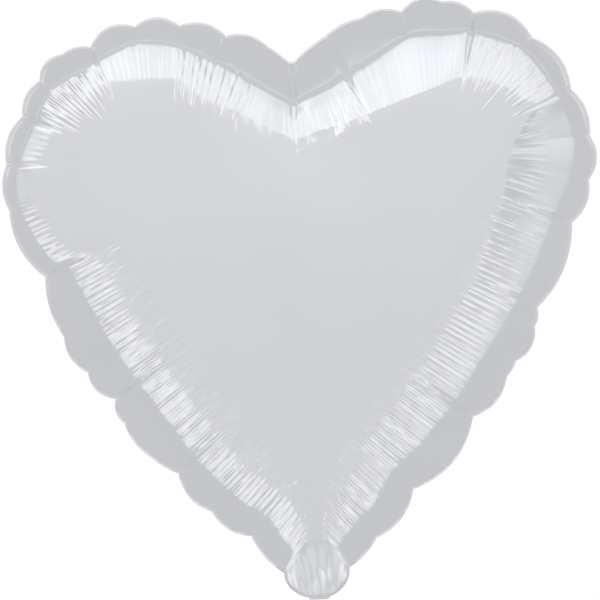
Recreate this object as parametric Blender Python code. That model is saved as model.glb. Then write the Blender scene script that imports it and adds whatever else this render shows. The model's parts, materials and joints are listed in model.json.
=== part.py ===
"""Heart-shaped foil balloon: two foil panels, a seam weld and a folded tail with a film valve.

Metres, +Z up, front towards -Y. The origin is the centre of the inflated balloon's box.
The foil and the film are drawn thicker than the real sheets, so that each is a solid.
"""
import math

import bpy
import bmesh
import numpy as np

MM = 0.001

# Heart outline, half of it: three tangent arcs from the cleft down to the neck, then mirrored.
LOBE_CENTRE = np.array((99.0, 90.0)) * MM   # X and Z of the lobe arc's centre
LOBE_RADIUS = 97.0 * MM
TOP_RADIUS = 166.0 * MM                     # flatter arc from the lobe to the cleft
SIDE_RADIUS = 531.0 * MM                    # long arc from the lobe to the neck
TOP_JOIN = math.radians(8.0)                # where the arcs meet, clockwise from +Z
SIDE_JOIN = math.radians(109.0)

# The rim's puckered scallops, from the cleft to the neck, in mm: the width of each along the
# outline, how far the pucker after it stands off the outline, and its bulge over the straight
# line between its puckers. The two sides differ, because foil gathers by chance.
CLEFT_OFFSET_MM = -3.0
SCALLOPS_RIGHT_MM = (
    (28, 1.5, 1.0), (26, 3.8, 2.0), (27, 2.3, 3.7), (27, 7.6, 5.8), (21, 2.5, 3.2),
    (42, 3.3, 8.4), (43, 0.2, 6.7), (33, 2.4, 4.4), (29, 2.0, 5.1), (31, -1.5, 4.4),
    (62, -2.3, 6.6), (12, 1.4, 1.3), (27, 1.0, 4.6), (12, 0.9, 0.6), (35, -4.2, 5.3),
    (64, -6.5, 9.0), (41, -2.1, 5.4), (27, -0.3, 1.8),
)
SCALLOPS_LEFT_MM = (
    (18, 0.3, 0.5), (29, -2.0, 4.3), (32, 0.9, 5.2), (30, 1.7, 5.8), (33, -3.6, 7.3),
    (19, 2.3, 2.4), (23, -0.3, 5.0), (27, -3.3, 4.2), (35, -0.4, 4.9), (31, 0.9, 3.8),
    (51, -3.9, 6.0), (41, 4.2, 3.4), (29, 3.5, 4.1), (25, -1.8, 4.8), (17, 3.6, 2.9),
    (29, 4.3, 2.7), (20, -1.8, 1.1), (34, 0.9, 5.0), (31, -4.2, 4.2), (33, 2.0, 2.5),
)
SCALLOP_STEP = 10.0 * MM                    # spacing of rim points

# Neck at the bottom tip, where the tail joins.
NECK_WIDTH = 43.0 * MM
NECK_DROP = 18.5 * MM                       # from the last scallop to the neck's lower edge
NECK_CORNER = 15.0 * MM

# Sheets and the seam.
FOIL = 0.4 * MM
FILM = 0.2 * MM
GAP = 0.3 * MM
INNER = GAP / 2 + FILM + GAP                # from the seam plane to a foil's inner face
WELD = 2 * (INNER - GAP)                    # thickness of a seam between the two foils
FLANGE_WIDTH = 3.0 * MM
WELD_INSET = 0.4 * MM

# Inflated dome of each panel.
DOME_HEIGHT = 80.0 * MM
DOME_POWER = 0.62                           # lower is fuller near the rim
TAPER_LENGTH = 265.0 * MM                   # the dome thins over this height above the neck
CORE = np.array((0.0, 10.0)) * MM           # all rows of the dome converge here
ROW_INSETS = np.array((6.0, 11.0, 21.0, 40.0)) * MM
ROW_FRACTIONS = (0.45, 0.75)

# Tail, folded up behind the balloon, and the valve.
FOLD_DROP = 1.8 * MM                        # from the neck's lower edge to the fold line
FOLD_BACK = 1.2 * MM                        # the tail folds about its rear face
FOLD_ANGLE = math.radians(150.0)            # from hanging straight down to folded up behind
TAIL_START = 1.2 * MM
TAIL_LENGTH = 66.0 * MM
TAIL_WIDTH = 38.0 * MM
TAIL_ROOT_WIDTH = 28.0 * MM
TAIL_FLARE = 12.0 * MM
TAIL_CORNER = 5.0 * MM
TAIL_SEAM = 3.0 * MM
SLOT_WIDTH = 16.0 * MM
SLOT_HEIGHT = 6.0 * MM
SLOT_FROM_END = 17.0 * MM
SLEEVE_WIDTH = 24.0 * MM
SLEEVE_START = 2.5 * MM
SLEEVE_LENGTH = 52.0 * MM
LIP_WIDTH = 30.0 * MM
LIP_LENGTH = 80.0 * MM
LIP_HINGE_RISE = 12.0 * MM                  # hinge line above the neck's lower edge
LIP_START = 1.5 * MM
CORNER_STEPS = 4

FOIL_COLOUR = (0.62, 0.62, 0.65)
SEAM_COLOUR = (0.55, 0.55, 0.58)
FILM_COLOUR = (0.80, 0.82, 0.84)


def clear_scene():
    """Start from an empty scene."""
    for obj in list(bpy.data.objects):
        bpy.data.objects.remove(obj, do_unlink=True)


def make_material(name, colour, roughness, metallic):
    """A plain Principled material."""
    material = bpy.data.materials.new(name)
    material.use_nodes = True
    shader = material.node_tree.nodes["Principled BSDF"]
    shader.inputs["Base Color"].default_value = (*colour, 1.0)
    shader.inputs["Roughness"].default_value = roughness
    shader.inputs["Metallic"].default_value = metallic
    return material


def add_object(name, mesh, material, parent=None):
    """Link a mesh as a named object, smooth on round stretches and sharp at edges."""
    mesh.shade_smooth()
    mesh.set_sharp_from_angle(angle=math.radians(50.0))
    mesh.materials.append(material)
    obj = bpy.data.objects.new(name, mesh)
    bpy.context.scene.collection.objects.link(obj)
    obj.parent = parent
    return obj


def add_axis(name, location, angle=0.0):
    """An empty on a joint's axis, which runs along X."""
    empty = bpy.data.objects.new(name, None)
    empty.location = location
    empty.rotation_euler = (angle, 0.0, 0.0)
    bpy.context.scene.collection.objects.link(empty)
    return empty


def finish_mesh(name, bm):
    """Turn the faces outward and hand back a mesh."""
    bmesh.ops.recalc_face_normals(bm, faces=bm.faces)
    mesh = bpy.data.meshes.new(name)
    bm.to_mesh(mesh)
    bm.free()
    return mesh


# ---------------------------------------------------------------- outline

def clockwise(angle):
    """Unit direction in the XZ plane, measured clockwise from +Z."""
    return np.array((math.sin(angle), math.cos(angle)))


def half_outline(length):
    """Point on the heart's half outline, a length along it from the cleft."""
    top_centre = LOBE_CENTRE - (TOP_RADIUS - LOBE_RADIUS) * clockwise(TOP_JOIN)
    side_centre = LOBE_CENTRE - (SIDE_RADIUS - LOBE_RADIUS) * clockwise(SIDE_JOIN)
    top_start = math.asin(-top_centre[0] / TOP_RADIUS)
    top_length = TOP_RADIUS * (TOP_JOIN - top_start)
    lobe_length = LOBE_RADIUS * (SIDE_JOIN - TOP_JOIN)
    if length < top_length:
        return top_centre + TOP_RADIUS * clockwise(top_start + length / TOP_RADIUS)
    length -= top_length
    if length < lobe_length:
        return LOBE_CENTRE + LOBE_RADIUS * clockwise(TOP_JOIN + length / LOBE_RADIUS)
    length -= lobe_length
    return side_centre + SIDE_RADIUS * clockwise(SIDE_JOIN + length / SIDE_RADIUS)


def pucker(length, offset):
    """A pucker's place: a length along the outline, and an offset outward from it."""
    here = half_outline(length)
    along = half_outline(length + MM) - here
    outward = np.array((-along[1], along[0])) / np.linalg.norm(along)
    return here + outward * offset


def scalloped_side(scallops_mm):
    """Rim points down one side, bulging outward between the puckers."""
    points = []
    length = 0.0
    first = pucker(length, CLEFT_OFFSET_MM * MM)
    for width, offset, rise in np.array(scallops_mm) * MM:
        length += width
        last = pucker(length, offset)
        along = last - first
        outward = np.array((-along[1], along[0])) / np.linalg.norm(along)
        steps = max(2, round(width / SCALLOP_STEP))
        for step in range(steps):
            share = step / steps
            points.append(first + along * share + outward * rise * 4 * share * (1 - share))
        first = last
    points.append(first)
    return points


def neck_side(top):
    """The neck's rounded lower corner, on the right, a drop below the last pucker."""
    half = NECK_WIDTH / 2
    bottom = top[1] - NECK_DROP
    centre = np.array((half - NECK_CORNER, bottom + NECK_CORNER))
    corner = [centre + NECK_CORNER * clockwise(math.radians(90 + 90 * step / CORNER_STEPS))
              for step in range(CORNER_STEPS + 1)]
    return corner


def fold_overhang():
    """How far the folded tail reaches below the neck's lower edge."""
    root_back = -(FOLD_BACK + INNER + FOIL)
    root_height = root_back * math.sin(FOLD_ANGLE) - TAIL_START * math.cos(FOLD_ANGLE)
    return FOLD_DROP - root_height


def heart_rim():
    """Closed rim in X and Z, clockwise from the cleft, and the two ends of the neck's mouth."""
    mirror = np.array((-1.0, 1.0))
    right = scalloped_side(SCALLOPS_RIGHT_MM)
    left = [point * mirror for point in scalloped_side(SCALLOPS_LEFT_MM)]
    neck = neck_side(right[-1])
    middle = np.array((0.0, neck[-1][1]))
    rim = right + neck + [middle] + [point * mirror for point in neck[::-1]] + left[:0:-1]
    rim = np.array(rim)
    lowest = rim.min(axis=0) - np.array((0.0, fold_overhang()))
    centre = (lowest + rim.max(axis=0)) / 2
    mouth = (len(right), len(right) + 2 * len(neck))
    return rim - centre, mouth


# ---------------------------------------------------------------- panels

def rim_clearance(points, rim):
    """Smooth distance of each point from the rim, which is zero on it."""
    start = rim[None, :, :] - points[:, None, :]
    end = np.roll(rim, -1, axis=0)[None, :, :] - points[:, None, :]
    cross = start[..., 0] * end[..., 1] - start[..., 1] * end[..., 0]
    dot = (start * end).sum(axis=-1)
    length = np.linalg.norm(end - start, axis=-1)
    safe = np.where(np.abs(cross) < 1e-12, 1.0, cross)
    weight = np.where(np.abs(cross) < 1e-12, length / dot, np.arctan2(cross, dot) * length / safe)
    return math.pi / weight.sum(axis=1)


def dome_height(points, seam):
    """Inflated height over the seam plane."""
    clearance = rim_clearance(points, seam)
    share = clearance / rim_clearance(np.array([CORE]), seam)[0]
    taper = np.clip((points[:, 1] - seam[:, 1].min()) / TAPER_LENGTH, 0.0, 1.0) ** 0.5
    return DOME_HEIGHT * np.clip(share, 0.0, 1.0) ** DOME_POWER * taper


def panel_rows(rim):
    """Rows of points from the rim to the core: the flange, then the dome."""
    inward = CORE - rim
    reach = np.linalg.norm(inward, axis=1)
    inward = inward / reach[:, None]
    seam = rim + inward * FLANGE_WIDTH
    flat = np.full(len(rim), INNER)
    rows = [(rim, flat), (seam, flat)]
    insets = [np.full(len(rim), inset) for inset in ROW_INSETS]
    insets += [ROW_INSETS[-1] + (reach - ROW_INSETS[-1]) * share for share in ROW_FRACTIONS]
    for inset in insets:
        points = rim + inward * inset[:, None]
        rows.append((points, flat + dome_height(points, seam)))
    return rows, INNER + dome_height(np.array([CORE]), seam)[0]


def make_panel(name, rim, side, material):
    """One thin dished panel. side is -1 for the front and +1 for the back."""
    bm = bmesh.new()
    rows, peak = panel_rows(rim)
    grid = [[bm.verts.new((x, side * y, z)) for (x, z), y in zip(*row)] for row in rows]
    count = len(rim)
    for outer, inner in zip(grid, grid[1:]):
        for i in range(count):
            j = (i + 1) % count
            bm.faces.new((outer[i], outer[j], inner[j], inner[i]))
    top = bm.verts.new((CORE[0], side * peak, CORE[1]))
    for i in range(count):
        bm.faces.new((grid[-1][i], grid[-1][(i + 1) % count], top))
    bmesh.ops.recalc_face_normals(bm, faces=bm.faces)
    thicken(bm)
    return add_object(name, finish_mesh(name, bm), material)


def thicken(bm):
    """Turn the inner face of a panel into a closed skin, with the foil outside it."""
    bm.normal_update()
    bmesh.ops.solidify(bm, geom=bm.faces[:], thickness=-FOIL)


def make_weld(rim, mouth, material):
    """The heat-seal bead between the flanges, open at the neck's mouth."""
    inward = CORE - rim
    inward = inward / np.linalg.norm(inward, axis=1)[:, None]
    count = len(rim)
    run = [(mouth[1] + step) % count for step in range(count - (mouth[1] - mouth[0]) + 1)]
    bm = bmesh.new()
    rings = []
    for i in run:
        ring = []
        for inset, y in ((WELD_INSET, -1), (WELD_INSET, 1), (FLANGE_WIDTH, 1), (FLANGE_WIDTH, -1)):
            x, z = rim[i] + inward[i] * inset
            ring.append(bm.verts.new((x, y * WELD / 2, z)))
        rings.append(ring)
    for near, far in zip(rings, rings[1:]):
        for k in range(4):
            bm.faces.new((near[k], near[(k + 1) % 4], far[(k + 1) % 4], far[k]))
    bm.faces.new(rings[0])
    bm.faces.new(rings[-1])
    return add_object("seam_weld", finish_mesh("seam_weld", bm), material)


# ---------------------------------------------------------------- tail and valve

def make_sheet(name, outline, y_low, y_high, material, parent):
    """A flat sheet: an outline in X and Z, extruded along Y."""
    bm = bmesh.new()
    verts = [bm.verts.new((x, y_low, z)) for x, z in outline]
    face = bm.faces.new(verts)
    moved = bmesh.ops.extrude_face_region(bm, geom=[face])["geom"]
    lifted = [item for item in moved if isinstance(item, bmesh.types.BMVert)]
    bmesh.ops.translate(bm, verts=lifted, vec=(0.0, y_high - y_low, 0.0))
    return add_object(name, finish_mesh(name, bm), material, parent)


def rounded_end(half_width, start, end, corner):
    """Outline of a strip that hangs from start to end, with its end corners rounded."""
    points = [(-half_width, start), (half_width, start)]
    for turn in (1, -1):
        centre = (turn * (half_width - corner), end + corner)
        steps = range(CORNER_STEPS + 1)
        angles = [math.pi / 2 * step / CORNER_STEPS for step in steps][::turn]
        points += [(centre[0] + turn * corner * math.cos(a), centre[1] - corner * math.sin(a))
                   for a in angles]
    return points


def tail_outline():
    """The tail's outline: gathered at the root, then full width, with rounded corners."""
    root = TAIL_ROOT_WIDTH / 2
    points = rounded_end(TAIL_WIDTH / 2, -TAIL_START - TAIL_FLARE, -TAIL_LENGTH, TAIL_CORNER)
    return [(root, -TAIL_START)] + points[1:] + [points[0], (-root, -TAIL_START)]


def cut_slot(obj):
    """Cut the inflation slot through a tail foil."""
    length = 20 * FOIL
    bm = bmesh.new()
    bmesh.ops.create_cube(bm, size=1.0)
    bmesh.ops.scale(bm, verts=bm.verts, vec=(SLOT_WIDTH, length, SLOT_HEIGHT))
    upright = [edge for edge in bm.edges if abs(edge.verts[0].co.y - edge.verts[1].co.y) > length / 2]
    bmesh.ops.bevel(bm, geom=upright, offset=SLOT_HEIGHT * 0.45, segments=CORNER_STEPS, affect="EDGES")
    cutter = add_object("slot_cutter", finish_mesh("slot_cutter", bm), obj.data.materials[0], obj)
    cutter.location = (0.0, -length / 2, -TAIL_LENGTH + SLOT_FROM_END)
    cutter.hide_render = True
    cutter.display_type = "WIRE"
    cut = obj.modifiers.new("slot", "BOOLEAN")
    cut.operation = "DIFFERENCE"
    cut.solver = "EXACT"
    cut.object = cutter


def make_tail(fold_line, foil, seam, film):
    """The folded tail: two foils, two side seams and the valve's two films."""
    outline = tail_outline()
    front = make_sheet("tail_front_foil", outline, -INNER - FOIL, -INNER, foil, fold_line)
    cut_slot(front)
    back = make_sheet("tail_back_foil", outline, INNER, INNER + FOIL, foil, fold_line)
    pieces = [front, back]
    outer = TAIL_WIDTH / 2 - WELD_INSET
    top = -TAIL_START - TAIL_FLARE
    bottom = -TAIL_LENGTH + TAIL_CORNER
    for name, side in (("tail_seam_left", -1), ("tail_seam_right", 1)):
        near = side * (outer - TAIL_SEAM)
        far = side * outer
        strip = [(far, top), (near, top), (near, bottom), (far, bottom)]
        pieces.append(make_sheet(name, strip, -WELD / 2, WELD / 2, seam, fold_line))
    sleeve = rounded_end(SLEEVE_WIDTH / 2, -SLEEVE_START, -SLEEVE_START - SLEEVE_LENGTH, TAIL_SEAM)
    for name, side in (("valve_sleeve_front", -1), ("valve_sleeve_back", 1)):
        faces = sorted((side * GAP / 2, side * (GAP / 2 + FILM)))
        pieces.append(make_sheet(name, sleeve, *faces, film, fold_line))
    for piece in pieces:
        piece.location.y = -FOLD_BACK


def make_valve_lips(hinge_line, film):
    """The valve's two free film lips, standing inside the balloon above the neck."""
    half = LIP_WIDTH / 2
    outline = [(-half, LIP_START), (half, LIP_START), (half, LIP_LENGTH), (-half, LIP_LENGTH)]
    make_sheet("valve_lip_front", outline, -GAP / 2 - FILM, -GAP / 2, film, hinge_line)
    make_sheet("valve_lip_rear", outline, GAP / 2, GAP / 2 + FILM, film, hinge_line)


def build():
    clear_scene()
    foil = make_material("silver_foil", FOIL_COLOUR, 0.22, 1.0)
    seam = make_material("sealed_seam", SEAM_COLOUR, 0.35, 1.0)
    film = make_material("clear_film", FILM_COLOUR, 0.30, 0.0)
    rim, mouth = heart_rim()
    neck_x, neck_edge = rim[(mouth[0] + mouth[1]) // 2]
    make_panel("front_panel", rim, -1, foil)
    make_panel("back_panel", rim, 1, foil)
    make_weld(rim, mouth, seam)
    fold_place = (neck_x, FOLD_BACK, neck_edge - FOLD_DROP)
    fold_line = add_axis("tail_fold_line", fold_place, FOLD_ANGLE)
    make_tail(fold_line, foil, seam, film)
    hinge_line = add_axis("valve_lip_line", (neck_x, 0.0, neck_edge + LIP_HINGE_RISE))
    make_valve_lips(hinge_line, film)


build()
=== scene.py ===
"""Looks of the heart-shaped foil balloon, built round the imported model. Metres, front towards -Y.

Each foil panel is one thin skin made of columns. A column starts at the rim and runs inward: over
the flat flange, up the steep dark band, over the bright band and on to the core.
"""

import json
import math

import bpy
import numpy as np
from mathutils.geometry import delaunay_2d_cdt
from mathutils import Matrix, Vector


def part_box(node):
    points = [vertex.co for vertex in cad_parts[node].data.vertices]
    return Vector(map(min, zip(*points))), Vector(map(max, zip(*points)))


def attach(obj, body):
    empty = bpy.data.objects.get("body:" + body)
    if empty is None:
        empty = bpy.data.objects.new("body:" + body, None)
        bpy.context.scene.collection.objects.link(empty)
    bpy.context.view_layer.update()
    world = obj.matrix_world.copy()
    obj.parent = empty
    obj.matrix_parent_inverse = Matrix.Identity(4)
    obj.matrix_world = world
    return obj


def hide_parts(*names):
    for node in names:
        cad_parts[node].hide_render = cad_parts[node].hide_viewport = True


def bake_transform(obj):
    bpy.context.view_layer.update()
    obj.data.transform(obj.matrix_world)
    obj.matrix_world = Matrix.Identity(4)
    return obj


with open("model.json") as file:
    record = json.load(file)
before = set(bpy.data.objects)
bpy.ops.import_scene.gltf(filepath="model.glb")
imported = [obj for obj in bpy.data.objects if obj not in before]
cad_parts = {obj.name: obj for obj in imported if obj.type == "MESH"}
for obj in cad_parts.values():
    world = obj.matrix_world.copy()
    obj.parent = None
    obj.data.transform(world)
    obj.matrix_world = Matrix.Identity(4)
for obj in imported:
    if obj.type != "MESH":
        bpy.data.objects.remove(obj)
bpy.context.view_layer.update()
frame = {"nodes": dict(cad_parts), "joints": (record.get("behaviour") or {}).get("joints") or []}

MM = 0.001

# Heart outline: three tangent arcs to a side, as in the frame. X and Z, before centring.
LOBE_CENTRE = np.array((99.0, 90.0)) * MM
LOBE_RADIUS = 97.0 * MM
TOP_RADIUS = 166.0 * MM
SIDE_RADIUS = 531.0 * MM
TOP_JOIN = math.radians(8.0)
SIDE_JOIN = math.radians(109.0)
CLEFT_FAN = 28.0 * MM            # columns turn to hang straight down towards the cleft
NECK_DROP = 19.8 * MM
NECK_ROUND = 1.9                 # 2 is an ellipse, and less is squarer
NECK_BANDS = (12.0 * MM, 24.0 * MM)
NECK_BLEND = 8.0 * MM            # length of rim above the neck that takes the neck's shape

# Scallops from the cleft to the neck, in mm. For each: its width, the offset of the pucker after
# it from the outline, its bulge, then at that pucker the widths from the rim to the inner edge of
# the dark band and of the bright band (0 where those edges run straight past), the length and
# depth of its crease. Then, for the scallop itself, the height of its fine wrinkles, how far inside
# the dark band's edge they begin and how far beyond the bright band's edge they end. The first
# three values are the frame's own. They are data, measured off the photographed rim by another
# script. The others are set one by one.
CLEFT_MM = (0, -3.0, 0, 30, 53, 54, 2.0, 0.20, 0, 0)
RIGHT_MM = (
    (28, 1.5, 1.0, 34, 61, 60, 3.2, 0.60, 8, 10), (26, 3.8, 2.0, 0, 0, 8, 0.5, 0.14, -2, -8),
    (27, 2.3, 3.7, 19, 0, 22, 2.0, 0.04, 0, 0), (27, 7.6, 5.8, 0, 0, 6, 0.5, 0.04, 0, 0),
    (21, 2.5, 3.2, 15, 45, 56, 3.6, 0.04, 0, 0), (42, 3.3, 8.4, 11, 39, 16, 1.8, 0.45, -2, 6),
    (43, 0.2, 6.7, 12, 26, 48, 2.8, 0.45, 0, 10), (33, 2.4, 4.4, 10, 54, 12, 1.6, 0.30, 20, -14),
    (29, 2.0, 5.1, 12, 57, 12, 1.6, 0.30, 22, -18), (31, -1.5, 4.4, 13, 50, 50, 3.2, 0.30, 20, -14),
    (62, -2.3, 6.6, 14, 46, 48, 2.4, 0.35, 2, 8), (12, 1.4, 1.3, 0, 0, 6, 0.4, 0.40, 2, 8),
    (27, 1.0, 4.6, 0, 0, 12, 1.4, 0.40, 8, 6), (12, 0.9, 0.6, 0, 0, 6, 0.3, 0.40, 8, 6),
    (35, -4.2, 5.3, 15, 48, 50, 3.4, 0.45, 4, 8), (64, -6.5, 9.0, 18, 45, 22, 2.2, 0.60, 0, 12),
    (41, -2.1, 5.4, 17, 38, 14, 1.2, 0.60, 0, 8), (27, -0.3, 1.8, 18, 34, 8, 0.6, 0.50, 0, 4),
)
LEFT_MM = (
    (18, 0.3, 0.5, 0, 0, 0, 0.0, 0.25, 6, 4), (29, -2.0, 4.3, 21, 44, 12, 1.4, 0.60, 0, 8),
    (32, 0.9, 5.2, 16, 36, 12, 1.6, 0.60, 0, 8), (30, 1.7, 5.8, 13, 36, 20, 1.6, 0.12, 0, 4),
    (33, -3.6, 7.3, 14, 28, 50, 3.6, 0.10, 0, 4), (19, 2.3, 2.4, 0, 0, 6, 0.4, 0.75, 0, 6),
    (23, -0.3, 5.0, 12, 32, 10, 1.2, 0.80, 0, 6), (27, -3.3, 4.2, 13, 24, 34, 3.0, 0.75, 0, 8),
    (35, -0.4, 4.9, 14, 20, 34, 2.6, 0.10, 0, 4), (31, 0.9, 3.8, 12, 24, 10, 1.0, 0.08, 0, 4),
    (51, -3.9, 6.0, 18, 38, 20, 2.4, 0.35, 0, 10), (41, 4.2, 3.4, 0, 0, 8, 0.8, 0.65, 0, 14),
    (29, 3.5, 4.1, 25, 44, 10, 1.0, 0.75, 0, 16), (25, -1.8, 4.8, 20, 40, 50, 3.6, 0.75, 0, 18),
    (17, 3.6, 2.9, 0, 0, 0, 0.3, 0.70, 0, 18), (29, 4.3, 2.7, 0, 0, 8, 0.8, 0.70, 0, 18),
    (20, -1.8, 1.1, 16, 36, 50, 2.8, 0.70, 0, 16), (34, 0.9, 5.0, 18, 38, 38, 2.4, 0.70, 0, 12),
    (31, -4.2, 4.2, 17, 36, 12, 1.2, 0.60, 0, 8), (33, 2.0, 2.5, 17, 33, 8, 0.6, 0.50, 0, 4),
)
THIN_LEFT = (9, 10)              # rows of LEFT_MM, from 0, where the bright band is a line
THIN_BAND = 2.5 * MM
COLUMN_STEP = 0.70 * MM
COARSE = 8                       # the mesh thins to one column in eight towards the core
THINNING = ((0.8, 2), (0.9, 4), (1.0, COARSE))    # shares of the way in, and columns to a point
BAND_ROWS = 10                   # rows of the mesh over each band
CORE_ROWS = 7                    # rows from the bright band to where the mesh thins
CORE_FINE = 0.7                  # the share of the way in where it starts to thin
DARK_MOST = 0.62                 # the dark band's most, as a share of both bands
BRIGHT_MOST = 0.94               # both bands' most, as a share of a column
RIM_PACKING = 1.7                # more than 1, so that rows lie closer together towards the rim
CORE_GRID = 5.0 * MM

# Shape of the inflated dome.
CROWN = 76.0 * MM
CROWN_POWER = 0.15
CORE = np.array((0.0, 50.0)) * MM
CORE_DEPTH = 70.0 * MM           # from the rim to the core's edge
TIP_DEPTH = 0.96                 # in the tip, columns run this share of the way to the middle
TIP_SHARE = 0.42                 # height at the tip as a share of the crown's
TIP_Z = -160.0 * MM
TIP_RISE = 220.0 * MM
TIP_POWER = 1.6
NECK_TAPER = 40.0 * MM
NECK_POWER = 0.6
CLEFT_DIP = 0.16                 # the dome is lower by this share under the cleft
CLEFT_DIP_Z = 55.0 * MM          # where the dip starts, the height it grows over and its width
CLEFT_DIP_RISE = 75.0 * MM
CLEFT_DIP_WIDTH = 45.0 * MM
PRESSED_HALF = 20.0 * MM         # half the width that the folded tail presses flat
PRESSED_EDGE = 14.0 * MM
NECK_EDGES = {-1: 1.6 * MM, 1: 3.0 * MM}    # in front and behind, the neck rises over this width
TAIL_CLEAR = 0.45                # height under the tail, per height above the neck's edge
DARK_SLOPE = 1.22                # steeper than the bright band, with a fold between them
BRIGHT_SLOPES = (0.84, 0.50)
CORE_SLOPE = 0.36
STEEPEST_POWER = 0.9
MIDDLE_ROW = 18                  # the row of the mesh that the wrinkles are spaced along
CREASE_REACH = 90                # columns either side of a pucker that its crease shapes
CREASE_WIDTH = 1.5 * MM
CREASE_SPREAD = 0.03             # how much wider it grows, as a share of the way inward
CREASE_DRIFT = 3.0 * MM          # the most that a crease bends aside by its end
SHOULDERS = (0.45, 3.2)          # the ridges beside a crease: height and width, times its own
WRINKLES_MM = ((2.8, 4.6, 0.85), (5.0, 8.0, 0.40))    # least and most spacing, and height
GATHERS = {-1: 1.0, 1: 0.5}      # height of the neck's folds in front and behind
GATHER_TOP = 42.0 * MM           # how far the folds reach up from the neck's edge, and aside
GATHER_HALF = 22.0 * MM
FLANGE = 0.9 * MM
FOIL = 0.4 * MM
SEAM_HALF = 0.55 * MM            # half the thickness of the welded edge
FLANGE_Y = 1.05 * MM             # outer face of a flange, from the seam plane
SEAM_LIP = 0.3 * MM              # how far the weld shows past the foils' edges
SEAM_WIDTH = 1.4 * MM

# Tail, across it and down it from the fold line. At rest it is folded up behind the neck.
FOLD = next(joint for joint in frame["joints"] if joint["name"] == "tail_fold")
FOLD_POINT = np.array(FOLD["pos_m"])
FOLD_ANGLE = math.radians(FOLD["range_deg"][1])
TAIL_START = 1.2 * MM
TAIL_END = 67.2 * MM
TAIL_HALF = 19.0 * MM
ROOT_HALF = 7.0 * MM
TAIL_FLARE = 23.0 * MM
TAIL_CORNER = 5.0 * MM
TAIL_SEAM = 3.0 * MM
TAIL_FOIL_Y = 0.85 * MM          # middle of a tail foil, from the tail's middle plane
SLOT_SIZE = np.array((8.0, 3.0)) * MM    # half the inflation slot's width and height
SLOT_PLACE = 50.2 * MM
FILM = 0.2 * MM
FILM_Y = 0.25 * MM
SLEEVE = (2.5 * MM, 54.5 * MM)
SLEEVE_HALF = 12.0 * MM
SHEET_GRID = 0.9 * MM

# Studio.
RING_BOXES = 14.0                # softboxes in the ring
CENTRE_TONE = 0.70
BEHIND_TONE = 0.60
FLOOR_Z = -0.75
FLOOR_RADIUS = 2.2
CAMERA_DISTANCE = 3.5
CAMERA_PLACE = (-4.3 * MM, -CAMERA_DISTANCE, 1.3 * MM)
CAMERA_ROLL = math.radians(3.0)
VIEW_WIDTH = 0.4047              # what the picture spans at the balloon


def smooth(x):
    """Smooth step from 0 to 1."""
    x = np.clip(x, 0.0, 1.0)
    return x * x * (3 - 2 * x)


def clockwise(angle):
    """Unit directions in XZ, clockwise from +Z."""
    return np.stack((np.sin(angle), np.cos(angle)), axis=-1)


def soft_min(a, b, width):
    """The lesser of two values, rounded where they meet."""
    return (a + b - np.sqrt((a - b) ** 2 + width ** 2)) / 2


# ---------------------------------------------------------------- outline and columns

def outline(length):
    """Points and outward angles on the half outline, at lengths along it from the cleft."""
    top_centre = LOBE_CENTRE - (TOP_RADIUS - LOBE_RADIUS) * clockwise(TOP_JOIN)
    side_centre = LOBE_CENTRE - (SIDE_RADIUS - LOBE_RADIUS) * clockwise(SIDE_JOIN)
    top_start = math.asin(-top_centre[0] / TOP_RADIUS)
    top_end = TOP_RADIUS * (TOP_JOIN - top_start)
    lobe_end = top_end + LOBE_RADIUS * (SIDE_JOIN - TOP_JOIN)
    arcs = ((top_centre, TOP_RADIUS, top_start, 0.0),
            (LOBE_CENTRE, LOBE_RADIUS, TOP_JOIN, top_end),
            (side_centre, SIDE_RADIUS, SIDE_JOIN, lobe_end))
    points = np.zeros((len(length), 2))
    angles = np.zeros(len(length))
    for centre, radius, first_angle, first_length in arcs:
        here = length >= first_length
        angles[here] = first_angle + (length[here] - first_length) / radius
        points[here] = centre + radius * clockwise(angles[here])
    return points, angles


def band_edge(rim, inward, corners, places):
    """Distance from the rim to a band's inner edge, which runs straight between its corners."""
    reach = np.zeros(len(rim))
    for i in range(len(corners) - 1):
        span = slice(corners[i], corners[i + 1] + 1)
        along = places[i + 1] - places[i]
        normal = np.array((-along[1], along[0]))
        reach[span] = ((places[i] - rim[span]) @ normal) / (inward[span] @ normal)
    return reach


def scallop_arcs(notches, bulges, scallop, share):
    """Rim points, each a share of the way along its scallop from one pucker to the next."""
    along = (notches[1:] - notches[:-1])[scallop]
    outward = np.stack((-along[:, 1], along[:, 0]), axis=-1)
    outward /= np.linalg.norm(outward, axis=1)[:, None]
    rise = bulges[scallop + 1] * 4 * share * (1 - share)
    return notches[scallop] + along * share[:, None] + outward * rise[:, None]


def band_widths(rim, inward, starts, widths, notches):
    """Distance from the rim to a band's inner edge, given its width at the puckers it turns at."""
    corners = np.flatnonzero(widths > 0)
    places = notches[corners] + inward[starts[corners]] * widths[corners][:, None]
    return band_edge(rim, inward, starts[corners], places)


def column_ends(smooth_rim, inward):
    """Where columns end: at one depth, or just short of the heart's middle line in the tip."""
    sideways = np.maximum(-inward[:, 0], 0.05)
    to_axis = np.where(inward[:, 0] < 0, smooth_rim[:, 0] / sideways, 1.0)
    depth = soft_min(TIP_DEPTH * to_axis, CORE_DEPTH, 25 * MM)
    return smooth_rim + inward * depth[:, None]


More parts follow.
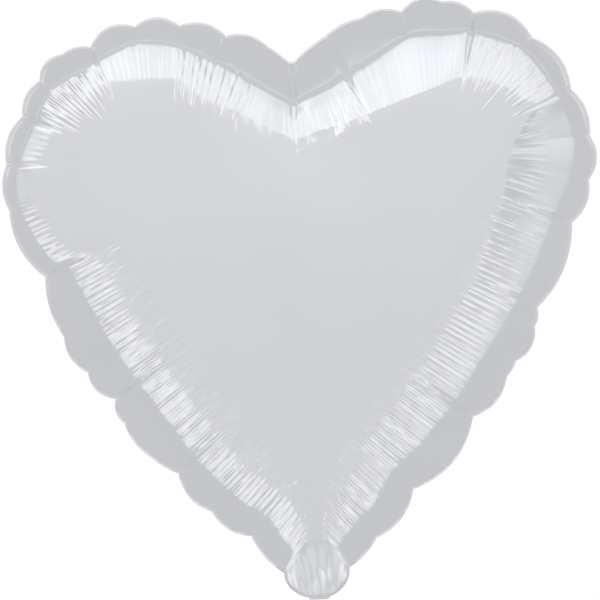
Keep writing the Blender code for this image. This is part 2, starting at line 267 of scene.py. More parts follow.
def half_columns(scallops_mm, thin):
    """Columns down one side, from the cleft's to the one at the neck's top, both included."""
    rows = np.array((CLEFT_MM,) + scallops_mm, float) * MM
    lengths = np.cumsum(rows[:, 0])
    counts = COARSE * np.maximum(2, np.round(rows[1:, 0] / COLUMN_STEP / COARSE)).astype(int)
    starts = np.concatenate(([0], np.cumsum(counts)))
    where = np.arange(starts[-1] + 1)
    scallop = np.minimum(np.searchsorted(starts, where, side="right") - 1, len(counts) - 1)
    share = (where - starts[scallop]) / counts[scallop]
    length = lengths[scallop] + rows[scallop + 1, 0] * share
    smooth_rim, angle = outline(length)
    inward = -clockwise(angle * smooth(length / CLEFT_FAN))
    base, notch_angle = outline(lengths)
    notches = base + clockwise(notch_angle) * rows[:, 1:2]
    rim = scallop_arcs(notches, rows[:, 2], scallop, share)
    dark = band_widths(rim, inward, starts, rows[:, 3], notches)
    band = band_widths(rim, inward, starts, rows[:, 4], notches) - dark
    spread = np.hanning(19) / np.hanning(19).sum()
    thinned = np.convolve(np.isin(scallop, thin).astype(float), spread, mode="same")
    columns = {"rim": rim, "core": column_ends(smooth_rim, inward), "share": share,
               "bulge": rows[scallop + 1, 2], "dark": dark,
               "bright": dark + band + (THIN_BAND - band) * thinned,
               "wrinkle": rows[scallop + 1, 7], "start": rows[scallop + 1, 8],
               "end": rows[scallop + 1, 9],
               "neck": smooth(1 - (lengths[-1] - length) / NECK_BLEND)}
    creases = [(start, row[5], row[6]) for start, row in zip(starts, rows) if row[5] > 0]
    return columns, creases


def neck_columns(top, bottom, core_end):
    """Columns round half the neck, from its top corner to the middle of its edge."""
    turns = np.radians(np.arange(0, 91, 3))
    round_off = NECK_ROUND / 2
    path = np.stack((top[0] * np.cos(turns) ** round_off,
                     top[1] + (bottom - top[1]) * np.sin(turns) ** round_off), axis=-1)
    along = np.concatenate(([0.0], np.cumsum(np.linalg.norm(np.diff(path, axis=0), axis=1))))
    count = COARSE * round(along[-1] / COLUMN_STEP / COARSE)
    here = np.linspace(0.0, along[-1], count + 1)
    rim = np.stack([np.interp(here, along, path[:, k]) for k in (0, 1)], axis=-1)
    flat = np.zeros(count + 1)
    core = np.stack((core_end[0] * rim[:, 0] / rim[0, 0], flat + core_end[1]), axis=-1)
    return {"rim": rim, "core": core, "share": flat, "bulge": flat, "wrinkle": flat,
            "dark": flat + NECK_BANDS[0], "bright": flat + NECK_BANDS[1], "start": flat,
            "end": flat, "neck": flat + 1}


def ring_of_columns():
    """Columns of the whole rim, clockwise from the cleft and centred as the frame is."""
    right, right_creases = half_columns(RIGHT_MM, ())
    left, left_creases = half_columns(LEFT_MM, THIN_LEFT)
    bottom = right["rim"][-1][1] - NECK_DROP
    neck_right = neck_columns(right["rim"][-1], bottom, right["core"][-1])
    neck_left = neck_columns(left["rim"][-1], bottom, left["core"][-1])
    ring = {}
    for key in right:
        flip = np.array((-1.0, 1.0)) if key in ("rim", "core") else 1.0
        parts = [right[key][:-1], neck_right[key][:-1]]
        parts += [(part[key] * flip)[::-1][:-1] for part in (neck_left, left)]
        ring[key] = np.concatenate(parts)
    count = len(ring["rim"])
    ring["creases"] = right_creases + [(count - start, length, depth)
                                       for start, length, depth in left_creases[1:]]
    low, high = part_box("front_panel")
    rim = ring["rim"]
    shift = np.array(((low.x + high.x - rim[:, 0].min() - rim[:, 0].max()) / 2,
                      high.z - rim[:, 1].max()))
    ring["rim"] = rim + shift
    ring["core"] = ring["core"] + shift
    return ring


# ---------------------------------------------------------------- the inflated surface

def rim_clearance(points, rim):
    """Smooth distance of each point from the rim, which is zero on it."""
    start = rim[None, :, :] - points[:, None, :]
    end = np.roll(rim, -1, axis=0)[None, :, :] - points[:, None, :]
    cross = start[..., 0] * end[..., 1] - start[..., 1] * end[..., 0]
    dot = (start * end).sum(axis=-1)
    length = np.linalg.norm(end - start, axis=-1)
    cross = np.where(np.abs(cross) < 1e-14, 1e-14, cross)
    return math.pi / (np.arctan2(cross, dot) * length / cross).sum(axis=1)


def dome(points, rim, side):
    """Height of the smooth dome over the seam plane, well inside the rim.

    Behind, the folded tail lies against the dome and presses it a little flat.
    """
    full = rim_clearance(CORE[None, :], rim)[0]
    share = np.clip(rim_clearance(points, rim) / full, 0.0, 1.0)
    z = points[:, 1]
    climb = np.clip((z - TIP_Z) / TIP_RISE, -0.2, 1.0)
    tip = TIP_SHARE + (1 - TIP_SHARE) * (1 - (1 - climb) ** TIP_POWER)
    neck = np.clip((z - rim[:, 1].min()) / NECK_TAPER, 0.0, 1.0) ** NECK_POWER
    dip = CLEFT_DIP * smooth((z - CLEFT_DIP_Z) / CLEFT_DIP_RISE)
    cleft = 1 - dip * np.exp(-(points[:, 0] / CLEFT_DIP_WIDTH) ** 2)
    height = CROWN * share ** CROWN_POWER * tip * neck * cleft
    if side < 0:
        return height
    under_tail = TAIL_CLEAR * np.clip(z - rim[:, 1].min(), 0.0, 1.0)
    beside = smooth((np.abs(points[:, 0]) - PRESSED_HALF) / PRESSED_EDGE)
    return soft_min(height, under_tail + beside * CROWN, 2 * MM)


def row_distances(ring):
    """Distances from the rim, a row of the mesh to each line, and the columns each row skips."""
    reach = np.linalg.norm(ring["core"] - ring["rim"], axis=1)
    ring["bright"] = soft_min(ring["bright"], BRIGHT_MOST * reach, 2 * MM)
    ring["dark"] = soft_min(ring["dark"], DARK_MOST * ring["bright"], 2 * MM)
    dark, bright = ring["dark"], ring["bright"]
    rows = [np.full(len(reach), FLANGE * t) for t in (0.0, 0.5, 1.0)]
    even = np.linspace(0, 1, BAND_ROWS + 1)[1:]
    rows += [FLANGE + (dark - FLANGE) * t ** RIM_PACKING for t in even]
    rows += [dark + (bright - dark) * t for t in even]
    rows += [bright + (reach - bright) * t for t in np.linspace(0, CORE_FINE, CORE_ROWS + 1)[1:]]
    skips = [1] * len(rows)
    for t, skip in THINNING:
        rows.append(bright + (reach - bright) * t)
        skips.append(skip)
    return np.array(rows), skips, reach


def base_surface(ring, side):
    """Smooth surface under the wrinkles: an array of rows by columns by (x, height, z)."""
    s, skips, reach = row_distances(ring)
    inward = (ring["core"] - ring["rim"]) / reach[:, None]
    coarse_rim = ring["rim"][::COARSE]
    top = dome(ring["core"], coarse_rim, side)
    below = dome(ring["core"] - inward * MM, coarse_rim, side)
    end_slope = np.clip((top - below) / MM, 0.0, 0.5)
    dark, bright = ring["dark"], ring["bright"]
    steep = DARK_SLOPE * (dark - FLANGE) / STEEPEST_POWER
    natural = (reach - bright) * (CORE_SLOPE + end_slope) / 2 + steep
    natural += (bright - dark) * sum(BRIGHT_SLOPES) / 2
    ease = np.minimum(1.0, top / natural)
    core_slope, first, last = (ease * slope for slope in (CORE_SLOPE, *BRIGHT_SLOPES))
    bright_top = top - (reach - bright) * (core_slope + end_slope) / 2
    dark_top = np.maximum(bright_top - (bright - dark) * (first + last) / 2, MM)
    power = np.clip(DARK_SLOPE * ease * (dark - FLANGE) / dark_top, 0.3, STEEPEST_POWER)
    rise = np.clip((s - FLANGE) / (dark - FLANGE), 0.0, 1.0) ** power * dark_top
    over = np.clip(s - dark, 0.0, bright - dark)
    rise += over * (first - (first - last) / (bright - dark) * over / 2)
    over = np.clip(s - bright, 0.0, reach - bright)
    rise += over * (core_slope + (end_slope - core_slope) * over / (reach - bright) / 2)
    flat = ring["rim"][None] + inward[None] * s[..., None]
    near = ring["neck"] > 0
    necked = dome(flat[:, near].reshape(-1, 2), coarse_rim, side).reshape(len(s), -1)
    necked *= smooth(s[:, near] / NECK_EDGES[side])
    rise[:, near] += (necked - rise[:, near]) * ring["neck"][near]
    return np.stack((flat[..., 0], rise, flat[..., 1]), axis=-1), s, skips


def surface_normals(points):
    """Unit normals away from the seam plane, by differences along rows and columns."""
    along = np.roll(points, -1, axis=1) - np.roll(points, 1, axis=1)
    across = np.gradient(points, axis=0)
    normals = np.cross(along, across)
    normals *= np.sign(normals[..., 1:2] + 1e-12)
    return normals / np.linalg.norm(normals, axis=-1, keepdims=True)


def crease_relief(ring, s, run, rng):
    """Depth of the valleys that run inward from the puckers."""
    relief = np.zeros_like(s)
    count = s.shape[1]
    for start, length, depth in ring["creases"]:
        window = (np.arange(-CREASE_REACH, CREASE_REACH + 1) + start) % count
        total = run[:, -1:]
        x = run[:, window] - run[:, start % count][:, None]
        x = (x + total / 2) % total - total / 2
        depth_in = s[:, window]
        drift = rng.uniform(-1, 1) * CREASE_DRIFT * (depth_in / length) ** 2
        x = x - drift - 0.5 * MM * np.sin(depth_in / (6 * MM) + rng.uniform(0, 6))
        fade = smooth((depth_in - FLANGE) / (6 * MM)) * smooth((length - depth_in) / (0.6 * length))
        width = CREASE_WIDTH + CREASE_SPREAD * depth_in
        ridges = SHOULDERS[0] * np.exp(-(x / (SHOULDERS[1] * width)) ** 2)
        relief[:, window] += depth * (ridges - np.exp(-np.abs(x) / width)) * fade
    return relief


def wrinkle_relief(ring, s, run, rng, spacing, gain):
    """Fine ridges that run inward side by side, each with its own height and length."""
    bounds = np.cumsum(rng.uniform(*spacing, size=int(run[-1] / spacing[0]) + 2))
    which = np.searchsorted(bounds, run)
    width = np.diff(bounds, prepend=0.0)
    share = (run - (bounds - width)[which]) / width[which]
    heights = rng.uniform(0.45, 1.2, len(bounds))[which]
    begins = ring["dark"] + ring["start"] + rng.uniform(-6 * MM, 1 * MM, len(bounds))[which]
    spread = 3 * MM + 0.7 * np.abs(ring["end"])
    ends = ring["bright"] + ring["end"] + 11 * MM + spread * rng.uniform(-1, 1, len(bounds))[which]
    lean = rng.uniform(-1.0, 1.0, len(bounds))[which] * 0.5
    bump = np.sin(math.pi * np.clip(share, 0, 1)) ** 2
    shape = smooth((s - begins) / (5 * MM)) * smooth((ends - s) / (9 * MM))
    wave = 1 + 0.45 * np.sin(s / (2.3 * MM) + lean * 12)
    return gain * ring["wrinkle"] * heights * bump * shape * wave


def pillow_relief(ring, s):
    """Each scallop's puff between its two puckers."""
    puff = 4 * ring["share"] * (1 - ring["share"]) - 0.5
    return 0.30 * ring["bulge"] * puff * smooth((s - FLANGE) / (5 * MM)) * np.exp(-s / (13 * MM))


def gather_relief(points, rng):
    """Upright folds in the neck, drawn together where the tail starts."""
    low = points[0, :, 2].min()
    rise = points[..., 2] - low
    narrow = 1 + 0.6 * smooth(rise / (45 * MM))
    x = (points[..., 0] - points[0, points[0, :, 2].argmin(), 0]) / narrow
    folds = np.zeros_like(x)
    for pitch, height in ((10.0, 1.0), (6.4, 0.45)):
        folds += height * np.abs(np.sin(math.pi * x / (pitch * MM) + rng.uniform(0, 3)))
    for angle, pitch, height in ((0.6, 13.0, 0.7), (-0.8, 17.0, 0.7), (0.2, 8.0, 0.35)):
        across = x * math.cos(angle) + rise * math.sin(angle)
        folds += height * np.abs(np.sin(math.pi * across / (pitch * MM) + rng.uniform(0, 3)))
    fade = smooth(rise / (2.5 * MM)) * smooth((GATHER_TOP - rise) / (18 * MM))
    inside = smooth((GATHER_HALF - np.abs(points[..., 0])) / (6 * MM))
    return (folds - 1.6) * 0.7 * MM * fade * inside


def skin_rings(side, seed):
    """Rings of points of one foil panel, from the rim to the core's edge. side is -1 in front."""
    rng = np.random.RandomState(seed)
    ring = ring_of_columns()
    points, s, skips = base_surface(ring, side)
    steps = np.linalg.norm(np.roll(points, -1, axis=1) - points, axis=-1)
    run = np.cumsum(steps, axis=1)
    middle = run[MIDDLE_ROW]
    relief = crease_relief(ring, s, run, rng)
    for least, most, height in WRINKLES_MM:
        relief += wrinkle_relief(ring, s, middle, rng, (least * MM, most * MM), height)
    relief += pillow_relief(ring, s)
    relief += gather_relief(points, rng) * GATHERS[side]
    relief *= smooth((s[-1] - s) / (5 * MM))
    points = points + surface_normals(points) * relief[..., None]
    points[..., 1] = side * (points[..., 1] + FLANGE_Y - FOIL) + flange_wave(ring, s)
    return [row[::skip] for row, skip in zip(points, skips)]


def flange_wave(ring, s):
    """How far the flat flange weaves either side of the seam plane."""
    turn = np.arange(s.shape[1]) / s.shape[1] * 2 * math.pi
    wave = 0.5 * np.sin(37 * turn) + 0.35 * np.sin(83 * turn + 1.0) + 0.2 * np.sin(131 * turn)
    return wave * 0.7 * MM * smooth(1 - s / (7 * MM)) * (1 - ring["neck"])


# ---------------------------------------------------------------- meshes

def stitch(rings):
    """Faces between rings of points, where a ring has as many points as the last or half."""
    faces = []
    first = 0
    for outer, inner in zip(rings, rings[1:]):
        count, second = len(outer), first + len(outer)
        if len(inner) == count:
            i = np.arange(count)
            j = (i + 1) % count
            faces += np.stack((first + i, first + j, second + j, second + i), axis=-1).tolist()
        else:
            i = np.arange(count // 2)
            j = (i + 1) % (count // 2)
            a, b, c = first + 2 * i, first + 2 * i + 1, first + 2 * j
            faces += np.stack((a, b, second + i), axis=-1).tolist()
            faces += np.stack((b, second + j, second + i), axis=-1).tolist()
            faces += np.stack((b, c, second + j), axis=-1).tolist()
        first = second
    return np.concatenate(rings), faces


def turns_round(points, ring):
    """How far a ring turns round each point: a full turn inside it, and nothing outside."""
    start = ring[None, :, :] - points[:, None, :]
    end = np.roll(ring, -1, axis=0)[None, :, :] - points[:, None, :]
    cross = start[..., 0] * end[..., 1] - start[..., 1] * end[..., 0]
    return np.abs(np.arctan2(cross, (start * end).sum(axis=-1)).sum(axis=1))


def fill_sheet(edge, step, hole=None):
    """Points inside a loop and outside a hole, and triangles over those and the loops' points."""
    low, high = edge.min(axis=0), edge.max(axis=0)
    rows = np.arange(low[1], high[1], step * 0.866)
    grid = np.array([(x + (k % 2) * step / 2, z) for k, z in enumerate(rows)
                     for x in np.arange(low[0], high[0], step)])
    loops = [edge] if hole is None else [edge, hole]
    grid = grid[turns_round(grid, edge) > math.pi]
    if hole is not None:
        grid = grid[turns_round(grid, hole) < math.pi]
    border = np.concatenate(loops)
    gap = np.linalg.norm(grid[:, None, :] - border[None, :, :], axis=-1).min(axis=1)
    grid = grid[gap > step * 0.5]
    links = []
    first = 0
    for loop in loops:
        count = len(loop)
        links += [(first + i, first + (i + 1) % count) for i in range(count)]
        first += count
    points = np.concatenate((border, grid))
    result = delaunay_2d_cdt(points.tolist(), links, [], 1, 1e-9)
    source = [origin[0] for origin in result[3]]
    faces = [[source[i] for i in face] for face in result[2]]
    if hole is not None:
        middles = np.array([points[face].mean(axis=0) for face in faces])
        faces = [face for face, turn in zip(faces, turns_round(middles, hole)) if turn < math.pi]
    return points, faces


def add_piece(name, verts, faces, material, body, node=None):
    """A smooth mesh piece, which may ride on a body and stand for a node of the frame."""
    mesh = bpy.data.meshes.new(name)
    mesh.from_pydata(np.asarray(verts).tolist(), [], faces)
    mesh.shade_smooth()
    mesh.materials.append(material)
    obj = bpy.data.objects.new(name, mesh)
    bpy.context.scene.collection.objects.link(obj)
    if body:
        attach(obj, body)
    if node:
        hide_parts(node)
    return obj


def thicken(obj, thickness, offset):
    """Gives a sheet an even thickness."""
    modifier = obj.modifiers.new("thickness", "SOLIDIFY")
    modifier.thickness = thickness
    modifier.offset = offset


def sweep(sections):
    """A closed bar through closed sections of the same number of points, capped at both ends."""
    rows, count = len(sections), len(sections[0])
    i = np.arange(count)
    j = (i + 1) % count
    faces = []
    for row in range(rows - 1):
        first, second = row * count, (row + 1) * count
        faces += np.stack((first + i, second + i, second + j, first + j), axis=-1).tolist()
    faces.append(i.tolist())
    faces.append((i[::-1] + (rows - 1) * count).tolist())
    return np.concatenate(sections), faces


def triangle_turn(verts, face):
    """Positive for a face that turns anticlockwise in XZ."""
    a, b, c = (verts[i][[0, 2]] for i in face[:3])
    return (b[0] - a[0]) * (c[1] - a[1]) - (b[1] - a[1]) * (c[0] - a[0])


def make_skin(name, side, seed, material, node):
    """One foil panel as a closed skin of even thickness."""
    rings = skin_rings(side, seed)
    verts, faces = stitch(rings)
    edge = rings[-1][:, (0, 2)]
    first = len(verts) - len(edge)
    points, triangles = fill_sheet(edge, CORE_GRID)
    inside = points[len(edge):]
    height = side * (dome(inside, ring_of_columns()["rim"][::COARSE], side) + FLANGE_Y - FOIL)
    inside = np.stack((inside[:, 0], height, inside[:, 1]), axis=-1)
    verts = np.concatenate((verts, inside))
    flip = 1 if triangle_turn(verts[first:], triangles[0]) < 0 else -1
    faces += [[first + i for i in face][::flip] for face in triangles]
    if side > 0:
        faces = [face[::-1] for face in faces]
    obj = add_piece(name, verts, faces, material, "envelope", node)
    thicken(obj, FOIL, 1.0)


def make_rim_seam(material):
    """The weld round the rim, open at the bottom of the neck where the tail comes out."""
    ring = ring_of_columns()
    rim, reach = ring["rim"], ring["core"] - ring["rim"]
    inward = reach / np.linalg.norm(reach, axis=1)[:, None]
    s = np.zeros((1, len(rim)))
    wave = flange_wave(ring, s)[0]
    at_tail = (np.abs(rim[:, 0] - FOLD_POINT[0]) < ROOT_HALF + MM) & (rim[:, 1] < CORE[1])
    at_tail &= rim[:, 1] < rim[:, 1].min() + NECK_DROP
    last, first = np.flatnonzero(at_tail)[[0, -1]]
    order = np.concatenate((np.arange(first, len(rim)), np.arange(0, last + 1)))
    section = ((-SEAM_LIP, 0.6), (0.0, 1.0), (SEAM_WIDTH, 1.0),
               (SEAM_WIDTH, -1.0), (0.0, -1.0), (-SEAM_LIP, -0.6))
    sections = []
    for i in order:
        points = [(rim[i] + inward[i] * depth, wave[i] + SEAM_HALF * rise)
                  for depth, rise in section]
        sections.append([(place[0], y, place[1]) for place, y in points])
    verts, faces = sweep(np.array(sections))
    add_piece("rim_seam", verts, faces, material, "envelope", "seam_weld")


# ---------------------------------------------------------------- the tail

def fold_back(x, y, down, angle):
    """Places in the frame of points on the hanging tail, once it has turned about the fold."""
    y = y - FOLD_POINT[1]
    turned_y = y * np.cos(angle) + down * np.sin(angle)
    turned_z = y * np.sin(angle) - down * np.cos(angle)
    return np.stack((x + FOLD_POINT[0], turned_y + FOLD_POINT[1], turned_z + FOLD_POINT[2]), axis=-1)


def tail_half(down):
    """Half the tail's width, which is gathered at the neck and flares to its full width."""
    return ROOT_HALF + (TAIL_HALF - ROOT_HALF) * smooth((down - TAIL_START) / TAIL_FLARE)


def even_loop(corners, step):
    """Points at even steps round a closed loop."""
    corners = np.array(corners)
    closed = np.concatenate((corners, corners[:1]))
    along = np.cumsum(np.linalg.norm(np.diff(closed, axis=0), axis=1))
    along = np.concatenate(([0.0], along))
    here = np.arange(0, along[-1] - step / 2, step)
    return np.stack([np.interp(here, along, closed[:, k]) for k in (0, 1)], axis=-1)


def sheet_edge(start, end, margin, widest, corner):
    """Loop round a sheet of the tail, as (across, down)."""
    down = np.arange(start, end - corner, MM)
    side = np.stack((np.minimum(tail_half(down) - margin, widest), down), axis=-1)
    turn = np.radians(np.arange(0, 91, 15))
    middle = np.array((side[-1, 0] - corner, end - corner))
    arc = middle + corner * np.stack((np.cos(turn), np.sin(turn)), axis=-1)
    half = np.concatenate((side, arc))
    return even_loop(np.concatenate((half, (half * (-1, 1))[::-1])), SHEET_GRID)


def slot_edge():
    """Loop round the inflation slot, as (across, down)."""
    turn = np.radians(np.arange(0, 360, 10))
    square = np.stack((np.cos(turn), np.sin(turn)), axis=-1)
    square = np.sign(square) * np.abs(square) ** 0.5
    return even_loop(square * SLOT_SIZE + (0.0, SLOT_PLACE), SHEET_GRID)


def crumple(points, border, rng):
    """Outward relief of a tail foil: pleats at its root, a ribbed weld and a few creases."""
    x, down = points.T
    gap = np.linalg.norm(points[:, None, :] - border[None, :, :], axis=-1).min(axis=1)
    pleats = np.abs(np.sin(x / (1.3 * MM) + 0.8 * np.sin(down / (5 * MM))))
    relief = 0.5 * pleats * (1 - smooth(down / (24 * MM))) * smooth(gap / (1.5 * MM))
    for _ in range(9):
        angle, phase = rng.uniform(0, math.pi), rng.uniform(0, 6)
        across = (x * math.cos(angle) + down * math.sin(angle)) / (rng.uniform(6, 16) * MM)
        crease = 1 - np.abs(np.sin(across + 0.5 * np.sin(across * 0.7) + phase))
        relief += 0.35 * crease ** 3 * smooth((gap - TAIL_SEAM) / (3 * MM))
    ribs = np.cos((np.abs(x) + down) * 2 * math.pi / (2.7 * MM))
    relief += 0.06 * (1 + ribs) * smooth((TAIL_SEAM - gap) / (0.6 * MM))
    return relief * MM


def make_tail_sheet(name, y, edge, hole, thickness, material, node):
    """One foil or film of the tail."""
    points, faces = fill_sheet(edge, SHEET_GRID, hole)
    rng = np.random.RandomState(len(points))
    if thickness == FOIL:
        y = y + math.copysign(1.0, y) * crumple(points, edge, rng)
    verts = fold_back(points[:, 0], y, points[:, 1], FOLD_ANGLE)
    obj = add_piece(name, verts, faces, material, "tail", node)
    thicken(obj, thickness, 0.0)


def make_tail_seam(name, side, material, node):
    """The weld down one side of the tail, which shows as a thin line past the foils."""
    down = np.arange(TAIL_START, TAIL_END - TAIL_CORNER, MM)
    section = ((SEAM_LIP, 0.5), (0.0, 1.0), (-TAIL_SEAM, 1.0),
               (-TAIL_SEAM, -1.0), (0.0, -1.0), (SEAM_LIP, -0.5))
    sections = []
    for place in down:
        ring = [(side * (tail_half(place) + across), SEAM_HALF * rise) for across, rise in section]
        x, y = np.array(ring[::side]).T
        sections.append(fold_back(x, y, np.full(len(x), place), FOLD_ANGLE))
    verts, faces = sweep(np.array(sections))
    add_piece(name, verts, faces, material, "tail", node)


def root_path():
    """Middle line of the root at rest, from inside the neck round into the tail, about the fold."""
    neck = -FOLD_POINT[1]
    tail = np.array((-0.4, 1.0, 2.2)) * MM
    tail = (fold_back(0 * tail, 0.0, tail, FOLD_ANGLE) - FOLD_POINT)[:, 1:]
    hook = np.array(((neck, 0.6 * MM), (neck, -0.5 * MM), tail[0], tail[1]))
    t = np.linspace(0, 1, 15)[:, None]
    bend = (1 - t) ** 3 * hook[0] + 3 * t * (1 - t) ** 2 * hook[1]
    bend += 3 * t ** 2 * (1 - t) * hook[2] + t ** 3 * hook[3]
    return np.concatenate((((neck, 3.3 * MM), (neck, 2.0 * MM)), bend, tail[2:]))


def make_tail_root(material):
    """The gathered films between the neck and the tail, which bend at the fold."""
    path = root_path()
    along = np.gradient(path, axis=0)
    across = np.stack((-along[:, 1], along[:, 0]), axis=-1)
    across /= np.linalg.norm(across, axis=1)[:, None]
    share = np.linspace(-1, 1, 29)
    x = np.concatenate((share, share[::-1])) * (ROOT_HALF - 0.6 * MM)
    out = np.concatenate((share * 0 - 1, share * 0 + 1)) * 0.42 + 0.12 * np.sin(x / (0.9 * MM))
    sections = []
    for (y, z), (out_y, out_z) in zip(path, across):
        section = [x, y + out * out_y * MM, z + out * out_z * MM]
        sections.append(np.stack(section, axis=-1) + FOLD_POINT)
    verts, faces = sweep(np.array(sections))
    obj = add_piece("tail_root", verts, faces, material, None)
    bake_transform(obj)


def make_tail(foil, weld, film):
    """All of the tail's pieces."""
    edge = sheet_edge(TAIL_START, TAIL_END, 0.0, TAIL_HALF, TAIL_CORNER)
    sleeve = sheet_edge(*SLEEVE, MM, SLEEVE_HALF, MM)
    make_tail_sheet("tail_foil_front", -TAIL_FOIL_Y, edge, slot_edge(), FOIL, foil,
                    "tail_front_foil")
    make_tail_sheet("tail_foil_back", TAIL_FOIL_Y, edge, None, FOIL, foil,
                    "tail_back_foil")
    for side, name in ((-1, "left"), (1, "right")):
        make_tail_seam("tail_weld_" + name, side, weld, "tail_seam_" + name)
    for y, name in ((-FILM_Y, "front"), (FILM_Y, "back")):
        make_tail_sheet("sleeve_" + name, y, sleeve, None, FILM, film,
                        "valve_sleeve_" + name)
    make_tail_root(foil)


# ---------------------------------------------------------------- materials and light

class NodeMaths:
    """Adds math nodes to a node tree."""

    def __init__(self, tree):
        self.nodes = tree.nodes
        self.links = tree.links

    def calc(self, operation, *inputs):
        """A math node fed by sockets or numbers."""
        node = self.nodes.new("ShaderNodeMath")
        node.operation = operation
        for socket, value in zip(node.inputs, inputs):
            if isinstance(value, (int, float)):
                socket.default_value = value
            else:
                self.links.new(value, socket)
        return node.outputs[0]

    def product(self, first, *others):
        """Several values multiplied."""
        for value in others:
            first = self.calc("MULTIPLY", first, value)
        return first

    def step(self, value, low, high, first=0.0, last=1.0):
        """A smooth step of a socket between two values."""
        node = self.nodes.new("ShaderNodeMapRange")
        node.interpolation_type = "SMOOTHSTEP"
        self.links.new(value, node.inputs["Value"])
        for name, number in (("From Min", low), ("From Max", high),
                             ("To Min", first), ("To Max", last)):
            node.inputs[name].default_value = number
        return node.outputs["Result"]

    def mix(self, share, off, on):
        """One value where the share is 0 and the other where it is 1."""
        rest = self.calc("SUBTRACT", 1.0, share)
        return self.calc("ADD", self.calc("MULTIPLY", on, share), self.calc("MULTIPLY", off, rest))


def noise_node(material, scale, detail, stretch=(1.0, 1.0, 1.0)):
    """Noise over the object's own coordinates, in metres."""
    nodes, links = material.node_tree.nodes, material.node_tree.links
    place = nodes.new("ShaderNodeTexCoord").outputs["Object"]
    mapping = nodes.new("ShaderNodeMapping")
    mapping.inputs["Scale"].default_value = stretch
    links.new(place, mapping.inputs["Vector"])
    noise = nodes.new("ShaderNodeTexNoise")
    noise.inputs["Scale"].default_value = scale
    noise.inputs["Detail"].default_value = detail
    links.new(mapping.outputs[0], noise.inputs["Vector"])
    return noise.outputs["Fac"]


def add_bump(material, height, distance):
    """Drives the material's normal from a height."""
    nodes, links = material.node_tree.nodes, material.node_tree.links
    bump = nodes.new("ShaderNodeBump")
    bump.inputs["Distance"].default_value = distance
    links.new(height, bump.inputs["Height"])
    links.new(bump.outputs[0], nodes["Principled BSDF"].inputs["Normal"])


def vary_colour(material, value, dark, light):
    """Drives the base colour between two colours."""
    nodes, links = material.node_tree.nodes, material.node_tree.links
    ramp = nodes.new("ShaderNodeValToRGB")
    ramp.color_ramp.elements[0].position = 0.35
    ramp.color_ramp.elements[1].position = 0.65
    ramp.color_ramp.elements[0].color = (*dark, 1.0)
    ramp.color_ramp.elements[1].color = (*light, 1.0)
    links.new(value, ramp.inputs[0])
    links.new(ramp.outputs[0], nodes["Principled BSDF"].inputs["Base Color"])


def vary_roughness(material, value, low, high):
    """Drives the roughness between two values."""
    maths = NodeMaths(material.node_tree)
    result = maths.step(value, 0.3, 0.7, low, high)
    maths.links.new(result, maths.nodes["Principled BSDF"].inputs["Roughness"])


def new_material(name):
    """A node material with its Principled shader."""
    material = bpy.data.materials.new(name)
    material.use_nodes = True
    return material, material.node_tree.nodes["Principled BSDF"]


def foil_material():
    """Metallised film: cool silver, with faint clouds and a very fine crinkle."""
    material, shader = new_material("silver_foil")
    shader.inputs["Metallic"].default_value = 1.0
    clouds = noise_node(material, 16.0, 3.0)
    vary_colour(material, clouds, (0.930, 0.940, 0.990), (0.950, 0.960, 1.000))
    vary_roughness(material, clouds, 0.10, 0.15)
    add_bump(material, noise_node(material, 240.0, 4.0), 0.05 * MM)
    return material


def weld_material():
    """Film pressed dull by the heat seal, with fine ribs."""
    material, shader = new_material("sealed_seam")
    shader.inputs["Metallic"].default_value = 1.0
    grain = noise_node(material, 900.0, 2.0)
    vary_colour(material, grain, (0.78, 0.79, 0.83), (0.88, 0.89, 0.93))
    vary_roughness(material, grain, 0.25, 0.38)
    add_bump(material, noise_node(material, 1400.0, 1.0, (1.0, 0.2, 1.0)), 0.06 * MM)
    return material


def film_material():
    """Thin clear film, a little milky, with streaks down its length."""
    material, shader = new_material("clear_film")
    streaks = noise_node(material, 320.0, 3.0, (1.0, 0.3, 0.06))
    vary_colour(material, streaks, (0.86, 0.88, 0.91), (0.93, 0.94, 0.96))
    vary_roughness(material, streaks, 0.12, 0.30)
    shader.inputs["IOR"].default_value = 1.5
    shader.inputs["Alpha"].default_value = 0.45
    add_bump(material, streaks, 0.08 * MM)
    return material


def ring_tone(maths, front, up, right, angle):
    """The ring of softboxes: brightest overhead, and dimmed where the foil shows less light."""
    calc, step, product = maths.calc, maths.step, maths.product
    tone = calc("ADD", step(up, -0.1, 0.7, 0.84, 1.0), calc("MULTIPLY", right, -0.08))
    tone = calc("MULTIPLY", tone, step(up, -0.97, -0.86, 0.80, 1.0))
    low_right = product(step(up, -0.52, -0.76), step(right, 0.1, 0.5, 0.05, 0.13))
    tone = calc("ADD", tone, low_right)
    tone = calc("MULTIPLY", tone, step(right, 0.75, 0.95, 1.0, 1.05))
    left = product(step(up, 0.62, 0.45, 0.0, 0.23), step(up, -0.44, -0.37),
                   step(right, -0.76, -0.84))
    tone = calc("SUBTRACT", tone, left)
    inner_right = product(step(right, 0.60, 0.85), step(front, 0.20, 0.50, 0.0, 0.14),
                          step(up, 0.10, -0.20))
    tone = calc("SUBTRACT", tone, inner_right)
    ripple = calc("COSINE", calc("MULTIPLY", angle, RING_BOXES))
    tone = calc("MULTIPLY", tone, calc("ADD", 0.94, calc("MULTIPLY", ripple, 0.06)))
    return calc("MULTIPLY", tone, step(front, 0.02, 0.30, 0.88, 1.0))


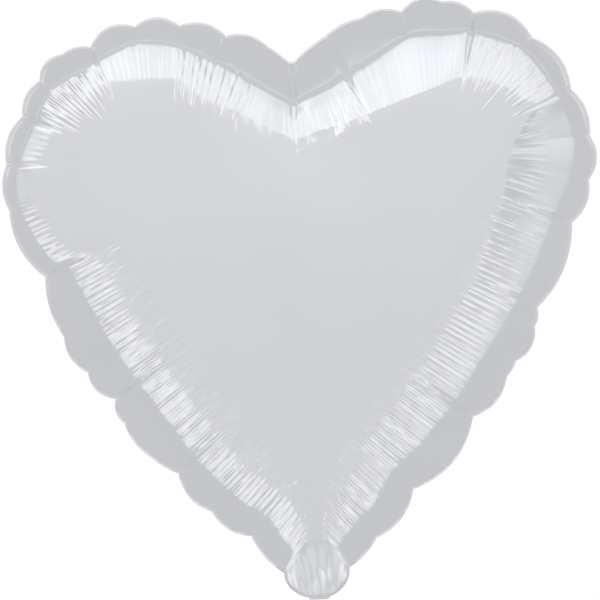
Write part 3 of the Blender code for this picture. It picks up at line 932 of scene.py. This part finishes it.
def behind_tone(maths, front, up, x, z, centre):
    """Grey behind, with a thin bright strip overhead, two soft boxes and the centre's tone."""
    calc, step, product = maths.calc, maths.step, maths.product
    strip = product(step(up, 0.1, 0.5), step(front, -0.275, -0.262), step(front, -0.232, -0.245))
    tone = calc("ADD", BEHIND_TONE, calc("MULTIPLY", strip, 0.22))
    aside = calc("ABSOLUTE", x)
    boxes = product(step(aside, 0.34, 0.42), step(aside, 0.80, 0.72), step(z, 0.02, 0.14),
                    step(z, 0.80, 0.60), step(front, -0.75, -0.85, 0.0, 0.15))
    tone = calc("ADD", tone, boxes)
    middle = product(step(front, -0.94, -0.97), calc("SUBTRACT", centre, BEHIND_TONE))
    return calc("ADD", tone, middle)


def make_world():
    """A studio as reflections see it: grey in front, a bright ring of softboxes, grey behind.

    The camera and diffuse surfaces see plain white.
    """
    world = bpy.data.worlds.new("studio")
    bpy.context.scene.world = world
    world.use_nodes = True
    nodes, links = world.node_tree.nodes, world.node_tree.links
    nodes.clear()
    maths = NodeMaths(world.node_tree)
    calc, step = maths.calc, maths.step
    place = nodes.new("ShaderNodeTexCoord").outputs["Generated"]
    split = nodes.new("ShaderNodeSeparateXYZ")
    links.new(place, split.inputs[0])
    x, y, z = split.outputs
    front = calc("MULTIPLY", y, -1.0)
    flat = calc("SQRT", calc("ADD", calc("MULTIPLY", x, x), calc("MULTIPLY", z, z)))
    flat = calc("MAXIMUM", flat, 0.001)
    up = calc("DIVIDE", z, flat)
    right = calc("DIVIDE", x, flat)
    centre = calc("ADD", CENTRE_TONE, calc("MULTIPLY", z, 0.05))
    ring = ring_tone(maths, front, up, right, calc("ARCTAN2", z, x))
    behind = behind_tone(maths, front, up, x, z, centre)
    tone = maths.mix(step(front, 0.0, 0.03), behind, ring)
    tone = maths.mix(step(front, 0.70, 0.75), tone, centre)
    path = nodes.new("ShaderNodeLightPath")
    plain = calc("MAXIMUM", path.outputs["Is Camera Ray"], path.outputs["Is Diffuse Ray"])
    background = nodes.new("ShaderNodeBackground")
    links.new(maths.mix(plain, tone, 1.0), background.inputs["Color"])
    output = nodes.new("ShaderNodeOutputWorld")
    links.new(background.outputs[0], output.inputs["Surface"])


def make_camera():
    """A long lens straight in front, rolled as the balloon hangs a little askew."""
    data = bpy.data.cameras.new("camera")
    camera = bpy.data.objects.new("camera", data)
    bpy.context.scene.collection.objects.link(camera)
    data.lens = data.sensor_width * CAMERA_DISTANCE / VIEW_WIDTH
    camera.location = CAMERA_PLACE
    camera.rotation_euler = (math.pi / 2, CAMERA_ROLL, 0.0)
    bpy.context.scene.camera = camera


def make_light():
    """One large soft light above and in front, which only the film and the floor take."""
    data = bpy.data.lights.new("key", "AREA")
    data.shape = "DISK"
    data.size = 1.6
    data.energy = 12.0
    light = bpy.data.objects.new("key", data)
    bpy.context.scene.collection.objects.link(light)
    light.location = (-0.9, -1.6, 2.0)
    light.rotation_euler = (math.radians(38.0), 0.0, math.radians(-29.0))
    light.visible_glossy = False


def make_floor():
    """A pale round floor well below the balloon."""
    turn = np.linspace(0, 2 * math.pi, 96, endpoint=False)
    ring = np.stack((np.cos(turn), np.sin(turn), 0 * turn), axis=-1) * FLOOR_RADIUS
    mesh = bpy.data.meshes.new("floor")
    mesh.from_pydata((ring + (0, 0, FLOOR_Z)).tolist(), [], [list(range(len(turn)))])
    material, shader = new_material("pale_floor")
    shader.inputs["Roughness"].default_value = 0.9
    vary_colour(material, noise_node(material, 3.0, 2.0), (0.93, 0.93, 0.93), (0.96, 0.96, 0.96))
    mesh.materials.append(material)
    floor = bpy.data.objects.new("floor", mesh)
    bpy.context.scene.collection.objects.link(floor)
    floor.visible_glossy = False


foil, weld, film = foil_material(), weld_material(), film_material()
make_skin("front_foil", side=-1, seed=11, material=foil, node="front_panel")
make_skin("back_foil", side=1, seed=23, material=foil, node="back_panel")
make_rim_seam(weld)
make_tail(foil, weld, film)
for lip in ("valve_lip_front", "valve_lip_rear"):
    frame["nodes"][lip].material_slots[0].material = film
make_world()
make_light()
make_floor()
make_camera()
bpy.context.scene.view_settings.view_transform = "Standard"
